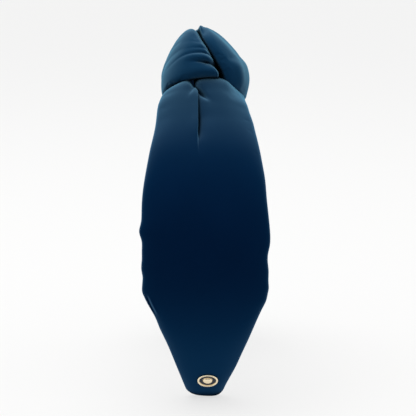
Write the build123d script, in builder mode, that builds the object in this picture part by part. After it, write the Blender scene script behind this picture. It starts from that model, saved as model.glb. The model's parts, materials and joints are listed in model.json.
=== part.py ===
# Knotted fabric headband: a sprung plastic core, padded fabric arms, and a knot on the crown.
#
# Millimetres.  The arch stands in the XZ plane on its two tips, +X is the wearer's left, -Y is the
# wearer's front, +Z is up.  The origin is on the floor, midway between the tips.
from build123d import *

import os
from math import asin, cos, degrees, radians, sin, sqrt

# Arch: the core's mid-surface is a half circle above two long, gently closing legs.
CROWN_RADIUS = 63.0
LEG_RADIUS = 150.0
CENTRE_HEIGHT = 60.0

# Layers, as offsets from the core's mid-surface (outwards is positive).
CORE_HALF = 1.0
FOAM_IN, FOAM_OUT, FOAM_TIP = 1.15, 4.6, 1.75
FABRIC = 0.8
SLEEVE_IN, SLEEVE_OUT, SLEEVE_TIP = -1.95, 5.5, 2.7
LINING_IN, LINING_OUT = -2.7, -2.0
GLUE_GAP = 0.1
FIT_GAP = 0.3

# Widths, as half widths across the band, and the heights where the outline changes.
SLEEVE_HALF, SLEEVE_NECK_HALF, SLEEVE_TIP_HALF = 27.2, 19.5, 8.8
CORE_WIDE_HALF, CORE_TIP_HALF = 12.0, 5.6
LINING_HALF, LINING_TIP_HALF = 14.0, 5.0
FULL_WIDTH_TOP, FULL_WIDTH_BOTTOM = 88.0, 48.0
NECK_TOP, NECK_FLARE_RUN = 122.0, 17.0
TIP_ROUND, SHOULDER_ROUND, SLEEVE_EDGE_ROUND = 3.5, 9.0, 2.0
CORE_FLOOR, LINING_FLOOR, FOAM_FLOOR = 1.6, 3.0, 17.0

# Flex: each arm turns about a line just inside the lining, a third of the way down from the crown.
# Crown and arm stop short of that line's radius by a small wedge, in degrees.
FLEX_ANGLE = 30.0
FLEX_RADIUS = CROWN_RADIUS - 3.0
FLEX_WEDGE = 6.6
FOAM_WEDGE = 12.6

# Gathered necks: pinched under the knot, flared outside it.
NECK_OUT = 9.0
NECK_START, NECK_PINCH_HALF = 6.0, 14.5
NECK_FLARE_END, NECK_FLARE_HALF = 36.0, 22.0
NECK_FLOOR = 40.0

# Knot: two wraps under a strand that crosses them on a diagonal, around a block of wadding.
KNOT_CENTRE_HEIGHT = 129.0
KNOT_HALF_WIDTH, KNOT_RISE = 19.8, 28.0
KNOT_HALF_LENGTH = 19.0
WRAP_DROP, WRAP_ROUND = 4.0, 4.0
WRAP_FOOT = 117.0
STRAND_TURN = 23.0
STRAND_HALF_WIDTH, STRAND_THICK, STRAND_PROUD = 8.0, 8.0, 0.7
STRAND_FOOT = 121.3
BATTING_HALF_LENGTH, BATTING_HALF_WIDTH, BATTING_HEIGHT = 5.5, 11.0, 14.0
BATTING_SIDE_ROUND, BATTING_TOP_ROUND = 4.0, 3.0

# Ornament: an oval plaque with a raised rim, two posts and a backplate.
PLAQUE_LENGTH, PLAQUE_HEIGHT, PLAQUE_THICK = 9.0, 6.4, 0.9
PLAQUE_RIM, PLAQUE_RISE, PLAQUE_ROUND = 0.8, 0.35, 0.2
PLAQUE_AT, PLAQUE_ASIDE = 10.0, 1.2
POST_RADIUS, POST_SPACING = 0.5, 4.4
BACKPLATE_LENGTH, BACKPLATE_HEIGHT, BACKPLATE_ROUND, BACKPLATE_THICK = 7.2, 2.4, 1.1, 0.35

# Hem stitches beside the lining's edges, and the tacks under the knot.
THREAD_RADIUS = 0.3
STITCH_LENGTH, STITCH_PITCH = 2.6, 5.0
HEM_FIRST_ANGLE, HEM_LAST_HEIGHT = 40.0, 7.0
THREAD_SEAT = SLEEVE_IN - THREAD_RADIUS - GLUE_GAP / 2
TACK_X, TACK_Y, TACK_LENGTH = (-11.0, -5.0, 5.0, 11.0), 16.3, 2.4

FAR = 100.0


def save(builder, name):
    """Label a finished piece and write it as its own STEP file."""
    builder.part.label = name
    export_step(builder.part, f"parts/{name}.step")


def leg_x(offset, height):
    """X of the leg's curve at a height, at an offset from the core's mid-surface."""
    radius = LEG_RADIUS + offset
    return CROWN_RADIUS - LEG_RADIUS + sqrt(radius**2 - (CENTRE_HEIGHT - height) ** 2)


def arch_profile(inner, outer, outer_tip, floor):
    """Left half of the arch between two offsets; the outer one closes in towards the tip."""
    top_in = CROWN_RADIUS + inner
    top_out = CROWN_RADIUS + outer
    with BuildSketch(Plane.XZ) as profile:
        with BuildLine():
            Line((0, CENTRE_HEIGHT + top_in), (0, CENTRE_HEIGHT + top_out))
            CenterArc((0, CENTRE_HEIGHT), top_out, 0, 90)
            tip_out = (leg_x(outer_tip, floor), floor)
            TangentArc((top_out, CENTRE_HEIGHT), tip_out, tangent=(0, -1))
            tip_in = (leg_x(inner, floor), floor)
            Line(tip_out, tip_in)
            sweep_angle = asin((CENTRE_HEIGHT - floor) / (LEG_RADIUS + inner))
            leg_centre = (CROWN_RADIUS - LEG_RADIUS, CENTRE_HEIGHT)
            CenterArc(leg_centre, LEG_RADIUS + inner, 0, -degrees(sweep_angle))
            CenterArc((0, CENTRE_HEIGHT), top_in, 0, 90)
        make_face()
    return profile.sketch


def width_profile(full, neck, tip, floor):
    """Outline of a band seen from the side: full width in the middle, narrowing both ways."""
    with BuildSketch(Plane.YZ) as outline:
        with BuildLine() as edge:
            Line((0, FAR * 2), (neck, FAR * 2))
            Line((neck, FAR * 2), (neck, NECK_TOP))
            flare = (full - neck) / NECK_FLARE_RUN
            Spline((neck, NECK_TOP), (full, FULL_WIDTH_TOP), tangents=((flare, -1), (0, -1)))
            Line((full, FULL_WIDTH_TOP), (full, FULL_WIDTH_BOTTOM))
            Line((full, FULL_WIDTH_BOTTOM), (tip, floor))
            Line((tip, floor), (0, floor))
            mirror(edge.line, about=Plane.YZ)
        make_face()
        tip_corners = outline.vertices().group_by(Axis.Y)[0]
        fillet(tip_corners, min(TIP_ROUND, tip / 2))
        shoulders = outline.vertices().filter_by_position(
            Axis.Y, FULL_WIDTH_BOTTOM - FABRIC, FULL_WIDTH_BOTTOM + FABRIC
        )
        fillet(shoulders, SHOULDER_ROUND)
    return outline.sketch


def flex_plane(turn):
    """Plane through the left flex line, leaning by some degrees down the arm from the radius there."""
    at = radians(FLEX_ANGLE)
    pivot = (FLEX_RADIUS * sin(at), 0, CENTRE_HEIGHT + FLEX_RADIUS * cos(at))
    lean = radians(FLEX_ANGLE + turn)
    return Plane(origin=pivot, x_dir=(0, 1, 0), z_dir=(cos(lean), 0, -sin(lean)))


def band(inner, outer, outer_tip, full, neck, tip, floor):
    """A left half-arch strip: its profile along the arch cut to its outline seen from the side."""
    with BuildPart() as strip:
        extrude(arch_profile(inner, outer, outer_tip, floor), amount=SLEEVE_HALF * 2, both=True)
        extrude(width_profile(full, neck, tip, floor), amount=FAR, mode=Mode.INTERSECT)
    return strip.part


def core_band(gap):
    """The core's left half, or the slot for it when there is a gap all round."""
    half = CORE_HALF + gap
    wide = CORE_WIDE_HALF + gap
    return band(-half, half, half, wide, wide, CORE_TIP_HALF + gap, CORE_FLOOR)


def lining_band():
    """The left half of the ribbon glued along the inside of the arch."""
    wide, tip = LINING_HALF, LINING_TIP_HALF
    return band(LINING_IN, LINING_OUT, LINING_OUT, wide, wide, tip, LINING_FLOOR)


def foam_band():
    """The foam sheet over the left half of the core, wider than the core."""
    inset = FABRIC + GLUE_GAP
    return band(
        FOAM_IN,
        FOAM_OUT,
        FOAM_TIP,
        SLEEVE_HALF - inset,
        SLEEVE_NECK_HALF - inset,
        SLEEVE_TIP_HALF - inset,
        FOAM_FLOOR,
    )


def sleeve_band(inset):
    """The fabric sleeve's outside, or its inside when it is inset by the fabric's thickness."""
    return band(
        SLEEVE_IN + inset,
        SLEEVE_OUT - inset,
        SLEEVE_TIP - inset,
        SLEEVE_HALF - inset,
        SLEEVE_NECK_HALF - inset,
        SLEEVE_TIP_HALF - inset,
        inset,
    )


def lining_half(height):
    """Half width of the lining at a height on the leg."""
    if height > FULL_WIDTH_BOTTOM:
        return LINING_HALF
    share = (height - LINING_FLOOR) / (FULL_WIDTH_BOTTOM - LINING_FLOOR)
    return LINING_TIP_HALF + share * (LINING_HALF - LINING_TIP_HALF)


def hem_point(turn, side):
    """Thread's centre beside one edge of the lining, where the arch has turned by an angle."""
    radius = CROWN_RADIUS if turn < radians(90) else LEG_RADIUS
    reach = radius + THREAD_SEAT
    x = CROWN_RADIUS - radius + reach * sin(turn)
    z = CENTRE_HEIGHT + reach * cos(turn)
    return Vector(x, side * (lining_half(z) + THREAD_RADIUS + GLUE_GAP), z)


def hem_places():
    """Stitch places beside both edges of the lining, spaced evenly down the left arm."""
    places = []
    turn = radians(HEM_FIRST_ANGLE)
    while hem_point(turn, 1).Z > HEM_LAST_HEIGHT:
        radius = CROWN_RADIUS if turn < radians(90) else LEG_RADIUS
        half_stitch = STITCH_LENGTH / 2 / radius
        for side in (-1, 1):
            start = hem_point(turn - half_stitch, side)
            end = hem_point(turn + half_stitch, side)
            places.append(Plane((start + end) / 2, z_dir=end - start).location)
        turn += STITCH_PITCH / radius
    return places


def tack_places():
    """Tack places under both sides of the knot, against the underside of the wraps."""
    reach = CROWN_RADIUS + THREAD_SEAT
    places = []
    for x in TACK_X:
        height = CENTRE_HEIGHT + sqrt(reach**2 - x**2)
        places += [(x, y, height) for y in (-TACK_Y, TACK_Y)]
    return places


def neck_block(gap):
    """Gathered fabric between knot and flex line: pinched under the knot, flared outside it."""
    with BuildPart() as block:
        profile = arch_profile(SLEEVE_IN - gap, NECK_OUT + gap, NECK_OUT + gap, NECK_FLOOR)
        extrude(profile, amount=SLEEVE_HALF * 2, both=True)
        with BuildSketch(Plane.XY) as plan:
            with BuildLine() as edge:
                pinch = NECK_PINCH_HALF + gap
                Line((NECK_START - gap, 0), (NECK_START - gap, pinch))
                Line((NECK_START - gap, pinch), (KNOT_HALF_LENGTH, pinch))
                flare = (NECK_FLARE_END, NECK_FLARE_HALF)
                Spline((KNOT_HALF_LENGTH, pinch), flare, tangents=((0.6, 1), (1, 0.25)))
                Line(flare, (NECK_FLARE_END, 0))
                mirror(edge.line, about=Plane.XZ)
            make_face()
        extrude(amount=FAR * 2, mode=Mode.INTERSECT)
        split(bisect_by=flex_plane(-FLEX_WEDGE), keep=Keep.BOTTOM)
    return block.part


def strand(gap):
    """The strand that crosses over the top of the knot on a diagonal."""
    turned = Plane.YZ.rotated((0, 0, -STRAND_TURN))
    outer_half = KNOT_HALF_WIDTH + STRAND_PROUD + gap
    inner_half = KNOT_HALF_WIDTH - STRAND_THICK / 2 - gap
    with BuildPart() as arch:
        with BuildSketch(turned):
            with Locations((0, KNOT_CENTRE_HEIGHT)):
                Ellipse(outer_half, KNOT_RISE + gap)
                Ellipse(inner_half, KNOT_RISE - STRAND_THICK - gap, mode=Mode.SUBTRACT)
            with Locations((0, STRAND_FOOT)):
                Rectangle(FAR, FAR, align=(Align.CENTER, Align.MIN), mode=Mode.INTERSECT)
        extrude(amount=STRAND_HALF_WIDTH + gap, both=True)
    return arch.part


def batting_block(gap):
    """Wadding inside the knot, over the core and between the two gathered necks."""
    foot = CENTRE_HEIGHT + CROWN_RADIUS + CORE_HALF + FIT_GAP - gap
    with BuildPart() as block:
        with BuildSketch(Plane.XY.offset(foot)):
            Rectangle(2 * (BATTING_HALF_LENGTH + gap), 2 * (BATTING_HALF_WIDTH + gap))
        extrude(amount=BATTING_HEIGHT + 2 * gap)
    return block.part


def plaque_plane(offset):
    """Plane on the left tip's outer face where the ornament sits, moved outwards by an offset."""
    widest = CROWN_RADIUS + SLEEVE_OUT
    closing = widest - leg_x(SLEEVE_TIP, 0)
    radius = (closing**2 + CENTRE_HEIGHT**2) / (2 * closing)
    slope = asin((CENTRE_HEIGHT - PLAQUE_AT) / radius)
    normal = Vector(cos(slope), 0, -sin(slope))
    seat = Vector(widest - radius, PLAQUE_ASIDE, CENTRE_HEIGHT) + normal * (radius + offset)
    return Plane(origin=seat, x_dir=(0, 1, 0), z_dir=normal)


def posts(radius, below, above):
    """The ornament's two round posts through the fabric, from below to above its seating plane."""
    with BuildPart() as pair:
        with BuildSketch(plaque_plane(below)):
            with GridLocations(POST_SPACING, 1, 2, 1):
                Circle(radius)
        extrude(amount=above - below)
    return pair.part


def right_of(part):
    """The same piece on the wearer's right."""
    return mirror(part, about=Plane.YZ)


def half_turn(part):
    """The same piece on the other side of the knot, which looks alike from both ends."""
    return part.rotate(Axis.Z, 180)


os.makedirs("parts", exist_ok=True)

# --- Crown: core, lining and gathered necks -------------------------------------------------

with BuildPart() as core_crown:
    add(core_band(0))
    split(bisect_by=flex_plane(-FLEX_WEDGE), keep=Keep.BOTTOM)
    mirror(about=Plane.YZ)
save(core_crown, "core_crown")

with BuildPart() as lining_crown:
    add(lining_band())
    split(bisect_by=flex_plane(-FLEX_WEDGE), keep=Keep.BOTTOM)
    mirror(about=Plane.YZ)
save(lining_crown, "lining_crown")

with BuildPart() as sleeve_neck_left:
    add(neck_block(0))
    add(core_band(GLUE_GAP), mode=Mode.SUBTRACT)
save(sleeve_neck_left, "sleeve_neck_left")

with BuildPart() as sleeve_neck_right:
    add(right_of(sleeve_neck_left.part))
save(sleeve_neck_right, "sleeve_neck_right")

# --- Knot -----------------------------------------------------------------------------------

with BuildPart() as knot_batting:
    add(batting_block(0))
    fillet(knot_batting.edges().filter_by(Axis.Z), BATTING_SIDE_ROUND)
    fillet(knot_batting.faces().sort_by(Axis.Z)[-1].edges(), BATTING_TOP_ROUND)
save(knot_batting, "knot_batting")

with BuildPart() as knot_cross_strand:
    add(strand(0))
    for neck in (neck_block(FIT_GAP), right_of(neck_block(FIT_GAP))):
        add(neck, mode=Mode.SUBTRACT)
save(knot_cross_strand, "knot_cross_strand")

with BuildPart() as knot_wrap_left:
    with BuildSketch(Plane.YZ.offset(FIT_GAP)):
        with Locations((0, KNOT_CENTRE_HEIGHT)):
            Ellipse(KNOT_HALF_WIDTH, KNOT_RISE - WRAP_DROP)
        with Locations((0, WRAP_FOOT)):
            Rectangle(FAR, FAR, align=(Align.CENTER, Align.MIN), mode=Mode.INTERSECT)
    extrude(amount=KNOT_HALF_LENGTH - FIT_GAP)
    brow = knot_wrap_left.faces().sort_by(Axis.X)[-1].edges().filter_by(GeomType.ELLIPSE)
    fillet(brow, WRAP_ROUND)
    with Locations((0, 0, CENTRE_HEIGHT)):
        Cylinder(CROWN_RADIUS + SLEEVE_IN, FAR, rotation=(90, 0, 0), mode=Mode.SUBTRACT)
    slot_height = CENTRE_HEIGHT + CROWN_RADIUS + CORE_HALF + FIT_GAP - WRAP_FOOT
    with Locations((0, 0, WRAP_FOOT)):
        foot = (Align.MIN, Align.CENTER, Align.MIN)
        Box(FAR, 2 * NECK_PINCH_HALF, slot_height, align=foot, mode=Mode.SUBTRACT)
    add(neck_block(FIT_GAP), mode=Mode.SUBTRACT)
    add(strand(FIT_GAP), mode=Mode.SUBTRACT)
    add(batting_block(FIT_GAP), mode=Mode.SUBTRACT)
save(knot_wrap_left, "knot_wrap_left")

with BuildPart() as knot_wrap_right:
    add(half_turn(knot_wrap_left.part))
save(knot_wrap_right, "knot_wrap_right")

with BuildPart() as knot_tacks:
    with Locations(*tack_places()):
        Cylinder(THREAD_RADIUS, TACK_LENGTH, rotation=(90, 0, 0))
save(knot_tacks, "knot_tacks")

# --- Left arm; the right arm is its mirror image --------------------------------------------

with BuildPart() as core_arm_left:
    add(core_band(0))
    split(bisect_by=flex_plane(FLEX_WEDGE), keep=Keep.TOP)
save(core_arm_left, "core_arm_left")

with BuildPart() as lining_left:
    add(lining_band())
    split(bisect_by=flex_plane(FLEX_WEDGE), keep=Keep.TOP)
save(lining_left, "lining_left")

with BuildPart() as foam_pad_left:
    add(foam_band())
    split(bisect_by=flex_plane(FOAM_WEDGE), keep=Keep.TOP)
save(foam_pad_left, "foam_pad_left")

with BuildPart() as hem_stitches_left:
    with Locations(hem_places()):
        Cylinder(THREAD_RADIUS, STITCH_LENGTH)
save(hem_stitches_left, "hem_stitches_left")

with BuildPart() as plain_sleeve:
    add(sleeve_band(0))
    split(bisect_by=flex_plane(FLEX_WEDGE), keep=Keep.TOP)
    fillet(plain_sleeve.edges().filter_by(GeomType.LINE, reverse=True), SLEEVE_EDGE_ROUND)
    add(sleeve_band(FABRIC), mode=Mode.SUBTRACT)

with BuildPart() as sleeve_left:
    add(plain_sleeve.part)
    add(posts(POST_RADIUS + GLUE_GAP / 2, -2 * FABRIC, FABRIC), mode=Mode.SUBTRACT)
save(sleeve_left, "sleeve_left")

for name, piece in (
    ("core_arm_right", core_arm_left),
    ("lining_right", lining_left),
    ("foam_pad_right", foam_pad_left),
    ("hem_stitches_right", hem_stitches_left),
    ("sleeve_right", plain_sleeve),
):
    with BuildPart() as mirrored:
        add(right_of(piece.part))
    save(mirrored, name)

# --- Ornament on the left tip ---------------------------------------------------------------

with BuildPart() as plaque:
    with BuildSketch(plaque_plane(GLUE_GAP)):
        Ellipse(PLAQUE_LENGTH / 2, PLAQUE_HEIGHT / 2)
    extrude(amount=PLAQUE_THICK)
    with BuildSketch(plaque_plane(GLUE_GAP + PLAQUE_THICK)):
        Ellipse(PLAQUE_LENGTH / 2 - PLAQUE_RIM, PLAQUE_HEIGHT / 2 - PLAQUE_RIM)
    extrude(amount=-PLAQUE_RISE, mode=Mode.SUBTRACT)
    rim = plaque.edges().filter_by(GeomType.LINE, reverse=True).sort_by(Axis.X)[-1]
    fillet(rim, PLAQUE_ROUND)
    add(posts(POST_RADIUS, -FABRIC - 2 * GLUE_GAP - BACKPLATE_THICK, 2 * GLUE_GAP))
save(plaque, "plaque")

with BuildPart() as plaque_backplate:
    with BuildSketch(plaque_plane(-FABRIC - GLUE_GAP)):
        RectangleRounded(BACKPLATE_LENGTH, BACKPLATE_HEIGHT, BACKPLATE_ROUND)
        with GridLocations(POST_SPACING, 1, 2, 1):
            Circle(POST_RADIUS + GLUE_GAP / 4, mode=Mode.SUBTRACT)
    extrude(amount=-BACKPLATE_THICK)
save(plaque_backplate, "plaque_backplate")
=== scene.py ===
"""Looks of the knotted headband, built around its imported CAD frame.

Shapes are worked out in millimetres in the CAD frame and become metres when a mesh is made.
The left arm and the near half of the knot are shaped once; a half turn about Z makes the others.
"""

import json
from math import asin, cos, pi, radians, sin, sqrt

import bpy
import numpy as np
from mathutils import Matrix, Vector


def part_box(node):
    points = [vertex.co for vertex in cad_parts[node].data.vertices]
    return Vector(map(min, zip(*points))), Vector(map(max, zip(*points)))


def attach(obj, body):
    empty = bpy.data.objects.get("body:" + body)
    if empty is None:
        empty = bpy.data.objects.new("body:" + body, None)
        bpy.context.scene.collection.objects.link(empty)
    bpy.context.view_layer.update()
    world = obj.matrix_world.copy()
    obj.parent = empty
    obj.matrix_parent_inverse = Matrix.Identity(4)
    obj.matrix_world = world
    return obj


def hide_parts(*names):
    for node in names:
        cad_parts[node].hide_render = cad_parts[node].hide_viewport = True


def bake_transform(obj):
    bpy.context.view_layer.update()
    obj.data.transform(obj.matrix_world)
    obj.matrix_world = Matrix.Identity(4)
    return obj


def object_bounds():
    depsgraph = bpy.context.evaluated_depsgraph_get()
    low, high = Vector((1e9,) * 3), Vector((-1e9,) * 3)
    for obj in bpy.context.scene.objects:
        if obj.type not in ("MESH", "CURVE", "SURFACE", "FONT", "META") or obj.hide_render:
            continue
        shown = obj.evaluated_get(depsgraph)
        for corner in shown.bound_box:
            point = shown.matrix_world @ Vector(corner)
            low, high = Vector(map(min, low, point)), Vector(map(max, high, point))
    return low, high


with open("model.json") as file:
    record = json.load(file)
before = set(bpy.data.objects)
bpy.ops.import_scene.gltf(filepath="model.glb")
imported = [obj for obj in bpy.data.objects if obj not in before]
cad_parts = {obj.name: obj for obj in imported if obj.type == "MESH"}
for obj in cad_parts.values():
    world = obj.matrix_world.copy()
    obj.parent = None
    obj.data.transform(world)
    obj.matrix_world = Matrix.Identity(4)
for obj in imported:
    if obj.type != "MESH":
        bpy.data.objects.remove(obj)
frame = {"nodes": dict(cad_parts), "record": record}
cad_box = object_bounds()

MM = 0.001
mounts = {m["name"]: m for m in frame["record"]["mounts"]}

# --- Driving dimensions, in millimetres, from the frame ------------------------------------

CENTRE = mounts["head_arch"]["pos_m"][2] / MM
LINING_FACE = mounts["head_arch"]["dims"]["r_mm"]
CORE_HALF = 1.0
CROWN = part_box("core_crown")[1].z / MM - CENTRE - CORE_HALF
LEG = 150.0
SLEEVE_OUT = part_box("sleeve_left")[1].x / MM - CROWN
SLEEVE_IN = -1.95
TOP = cad_box[1].z / MM
BAND_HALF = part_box("sleeve_left")[1].y / MM

# Lengths along the core's mid-surface from the crown: to the end of the half circle, and to a tip.
QUARTER = CROWN * pi / 2
ARM_LENGTH = QUARTER + LEG * asin(CENTRE / LEG)


# --- Small geometry helpers ---------------------------------------------------------------


def arch(along):
    """X and Z of the core's mid-surface, and its outward normal's, at a distance from the crown."""
    along = np.asarray(along, float)
    on_leg = along > QUARTER
    angle = np.where(on_leg, pi / 2 + (along - QUARTER) / LEG, along / CROWN)
    radius = np.where(on_leg, LEG, CROWN)
    x = CROWN - radius + radius * np.sin(angle)
    z = CENTRE + radius * np.cos(angle)
    return x, z, np.sin(angle), np.cos(angle)


def on_arch(along, across, out):
    """Points at a distance along the arch, across the band and outwards from its mid-surface."""
    x, z, nx, nz = arch(along)
    return np.stack([x + nx * out, across + 0 * x, z + nz * out], -1)


def profile(at, *stops):
    """Smooth curve through (position, value) stops, level where it turns back."""
    px, py = np.array(stops, float).T
    step = np.diff(py) / np.diff(px)
    slope = np.zeros(len(px))
    same = step[:-1] * step[1:] > 0
    slope[1:-1][same] = 2 / (1 / step[:-1][same] + 1 / step[1:][same])
    slope[0], slope[-1] = step[0], step[-1]
    at = np.clip(np.asarray(at, float), px[0], px[-1])
    i = np.clip(np.searchsorted(px, at) - 1, 0, len(step) - 1)
    h = px[i + 1] - px[i]
    t = (at - px[i]) / h
    return (
        py[i] * (1 + 2 * t) * (1 - t) ** 2
        + py[i + 1] * t * t * (3 - 2 * t)
        + h * slope[i] * t * (1 - t) ** 2
        - h * slope[i + 1] * t * t * (1 - t)
    )


def fade(at, start, end):
    """0 before start, 1 after end, smooth between."""
    t = np.clip((np.asarray(at, float) - start) / (end - start), 0, 1)
    return t * t * (3 - 2 * t)


def bump(at, centre, width):
    """A smooth hump, 1 at its centre."""
    return np.exp(-(((at - centre) / width) ** 2))


def half_turn(points):
    """The same points on the other side of the knot."""
    return points * np.array([-1.0, -1.0, 1.0])


def columns(count, focus=0.0, weight=0.0, spread=0.1):
    """Positions from -1 to 1, closer together near both ends and around a focus."""
    u = np.linspace(-1, 1, 801)
    density = 1 + weight * bump(u, focus, spread)
    total = np.concatenate([[0], np.cumsum((density[1:] + density[:-1]) / 2)])
    spaced = np.interp(np.linspace(0, total[-1], count), total, u)
    return np.sin(spaced * pi / 2)


def loop(upper, lower):
    """Closed rings from an upper and a lower row of points that share their ends."""
    return np.concatenate([upper, lower[:, -2:0:-1]], 1)


def tube_faces(rings, size):
    """Quads between closed rings."""
    faces = []
    for r in range(rings - 1):
        for k in range(size):
            nxt = (k + 1) % size
            faces.append((r * size + k, r * size + nxt, (r + 1) * size + nxt, (r + 1) * size + k))
    return faces


def ladder(base, size, flip):
    """Quads that close a flattened ring, from its upper row to its lower row."""
    top = size // 2
    faces = []
    for k in range(top):
        a, b = base + k, base + k + 1
        c, d = base + (size - k - 1) % size, base + (size - k) % size
        corners = [a, b, c, d]
        unique = [v for i, v in enumerate(corners) if v not in corners[:i]]
        faces.append(tuple(unique if flip else unique[::-1]))
    return faces


def new_mesh(name, points, faces):
    """A mesh object from points in millimetres, smooth shaded."""
    mesh = bpy.data.meshes.new(name)
    mesh.from_pydata((np.asarray(points).reshape(-1, 3) * MM).tolist(), [], faces)
    mesh.validate()
    mesh.shade_smooth()
    obj = bpy.data.objects.new(name, mesh)
    bpy.context.scene.collection.objects.link(obj)
    return obj


# Rings and points round each lofted piece, by its name.
ring_counts = {}


def lofted(name, rings):
    """A closed piece through rings of points, (rings, points round, 3)."""
    count, size = rings.shape[:2]
    ring_counts[name] = count, size
    faces = tube_faces(count, size)
    faces += ladder(0, size, True) + ladder((count - 1) * size, size, False)
    obj = new_mesh(name, rings, faces)
    point_outwards(obj)
    return obj


def joined_tubes(name, tubes):
    """One piece of several tubes with flat ends, each given as rings of points."""
    points, faces = np.empty((0, 3)), []
    for rings in tubes:
        base = len(points)
        count, size = rings.shape[:2]
        faces += [tuple(base + v for v in f) for f in tube_faces(count, size)]
        faces.append(tuple(base + k for k in reversed(range(size))))
        faces.append(tuple(base + (count - 1) * size + k for k in range(size)))
        points = np.concatenate([points, rings.reshape(-1, 3)])
    obj = new_mesh(name, points, faces)
    point_outwards(obj)
    return obj


def point_outwards(obj):
    """Turn every face of a closed mesh outwards."""
    bpy.context.view_layer.objects.active = obj
    bpy.ops.object.select_all(action="DESELECT")
    obj.select_set(True)
    bpy.ops.object.mode_set(mode="EDIT")
    bpy.ops.mesh.select_all(action="SELECT")
    bpy.ops.mesh.normals_make_consistent(inside=False)
    bpy.ops.object.mode_set(mode="OBJECT")


def smoothed(obj):
    """One step of subdivision, applied."""
    modifier = obj.modifiers.new("smooth", "SUBSURF")
    modifier.levels = 1
    bpy.context.view_layer.objects.active = obj
    bpy.ops.object.modifier_apply(modifier=modifier.name)
    obj.data.shade_smooth()


def held_parts(name, rim, ends):
    """1 where a lofted piece is sewn down, at its inner face, rims and ends; 0 where it is free."""
    count, size = ring_counts[name]
    column, row = np.arange(size), np.arange(count)
    from_rim = np.minimum(column, size // 2 - column)
    from_end = np.minimum(row, count - 1 - row)
    across = 1 - fade(from_rim, 0, rim)
    return np.maximum(across[None, :], 1 - fade(from_end, 0, ends)[:, None])


SIM_FRAMES = 20


def filled_with_air(obj, held, pressure, spare, cap):
    """Cloth simulation: pressure rounds the free parts of a piece; held is 1 where it is sewn.

    Spare is the share of extra cloth that may buckle into folds. No vertex moves further than the
    cap, in millimetres.
    """
    scene = bpy.context.scene
    group = obj.vertex_groups.new(name="held")
    for index, weight in enumerate(held.ravel()):
        group.add([index], float(weight), "REPLACE")
    modifier = obj.modifiers.new("cloth", "CLOTH")
    cloth = modifier.settings
    cloth.quality = 4
    cloth.mass = 0.1
    cloth.vertex_group_mass = group.name
    cloth.shrink_min = -spare
    cloth.bending_stiffness = 0.1
    cloth.use_pressure = True
    cloth.uniform_pressure_force = pressure
    cloth.effector_weights.gravity = 0
    modifier.collision_settings.use_collision = False
    modifier.point_cache.frame_end = SIM_FRAMES
    for step in range(1, SIM_FRAMES + 1):
        scene.frame_set(step)
    before = vertex_places(obj)
    after = vertex_places(obj.evaluated_get(bpy.context.evaluated_depsgraph_get()))
    obj.modifiers.remove(modifier)
    obj.vertex_groups.clear()
    scene.frame_set(1)
    move = after - before
    length = np.linalg.norm(move, axis=1, keepdims=True)
    move *= np.minimum(1, cap * MM / np.maximum(length, 1e-9))
    obj.data.vertices.foreach_set("co", (before + move).ravel())
    obj.data.update()


def vertex_places(obj):
    """Vertex coordinates of an object's mesh as an array."""
    flat = np.empty(3 * len(obj.data.vertices))
    obj.data.vertices.foreach_get("co", flat)
    return flat.reshape(-1, 3)


# --- Sleeve: one padded arm, from inside the knot to the tip --------------------------------

# "Along" is the distance from the crown, "across" runs from the front edge (-) to the rear edge (+)
# of the left arm, and "spread" is the same from -1 to 1. Most stops below are (along, value).
SLEEVE_START = 1.0
PLEAT_COLUMN = -0.1
TIP_CORNER, TIP_ROUND, TIP_SLANT = 4.2, 1.5, 1.0
# Share of a piece's thickness that is left where its end closes.
CLOSED_END = 0.04


def tip_rounding(along):
    """How far the corners of the tip draw in."""
    left = np.clip(ARM_LENGTH - along, 0, TIP_CORNER)
    share = 0.85
    return (TIP_CORNER - np.sqrt(TIP_CORNER**2 - (TIP_CORNER - left) ** 2)) * share


def sleeve_half_width(along):
    """Half width of the sleeve along the arm, with its rounded tip corners."""
    top = ((SLEEVE_START, 17.6), (9, 18.2), (14, 19.2), (18, 19.9), (24, 20.9), (33, 21.5))
    side = ((50, 24.1), (66, 26.2), (82, BAND_HALF - 0.1), (99, BAND_HALF - 0.2))
    taper = ((108, BAND_HALF - 0.6), (112, 25.6), (118, 23.0), (138, 14.6), (ARM_LENGTH, 7.0))
    return profile(along, *top, *side, *taper) - tip_rounding(along)


def right_shoulder_inset(along):
    """How much narrower the sleeve is on its right side (across above 0) just below the knot."""
    stops = ((SLEEVE_START, 0), (8, 0.5), (14, 1.5), (20, 2.0), (24, 1.75), (34, 0.2), (40, 0))
    return profile(along, *stops)


def rear_shoulder_inset(along):
    """How much narrower the right arm's sleeve is on the wearer's rear side, below the knot."""
    stops = ((SLEEVE_START, 0), (10, 1.2), (20, 2.8), (27, 3.1), (40, 1.6), (50, 0.9), (62, 0))
    return profile(along, *stops)


def sleeve_edge_height(along):
    """How far out the widest line of the sleeve's section lies."""
    stops = ((SLEEVE_START, 2), (9, 3.8), (14, 5), (20, 5.3), (28, 3.6), (40, 1.8), (60, 0.9))
    return profile(along, *stops, (ARM_LENGTH - 20, 0.7), (ARM_LENGTH, 0.2))


def sleeve_crown_height(along):
    """How far out the middle of the sleeve lies."""
    top = ((SLEEVE_START, 11.0), (10, 14.2), (14, 14.6), (20, 11.8), (27, 8.9), (34, 7.1), (46, 6.0))
    side = ((60, SLEEVE_OUT), (120, SLEEVE_OUT))
    return profile(along, *top, *side, (ARM_LENGTH - 18, 3.6), (ARM_LENGTH, 2.7))


def pleat_line(along):
    """Where the straight pleat under the knot runs, across the band."""
    stops = ((SLEEVE_START, -5.4), (14, -5.0), (18, -4.3), (22, -3.8), (34, -3.75), (46, -3.0))
    return profile(along, *stops, (70, -3.0))


# The pocket under the knot where the gathers meet, and the deepest that they go.
POCKET_ALONG, POCKET_ACROSS = 15.9, -4.35
DEEPEST = 4.4


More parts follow.
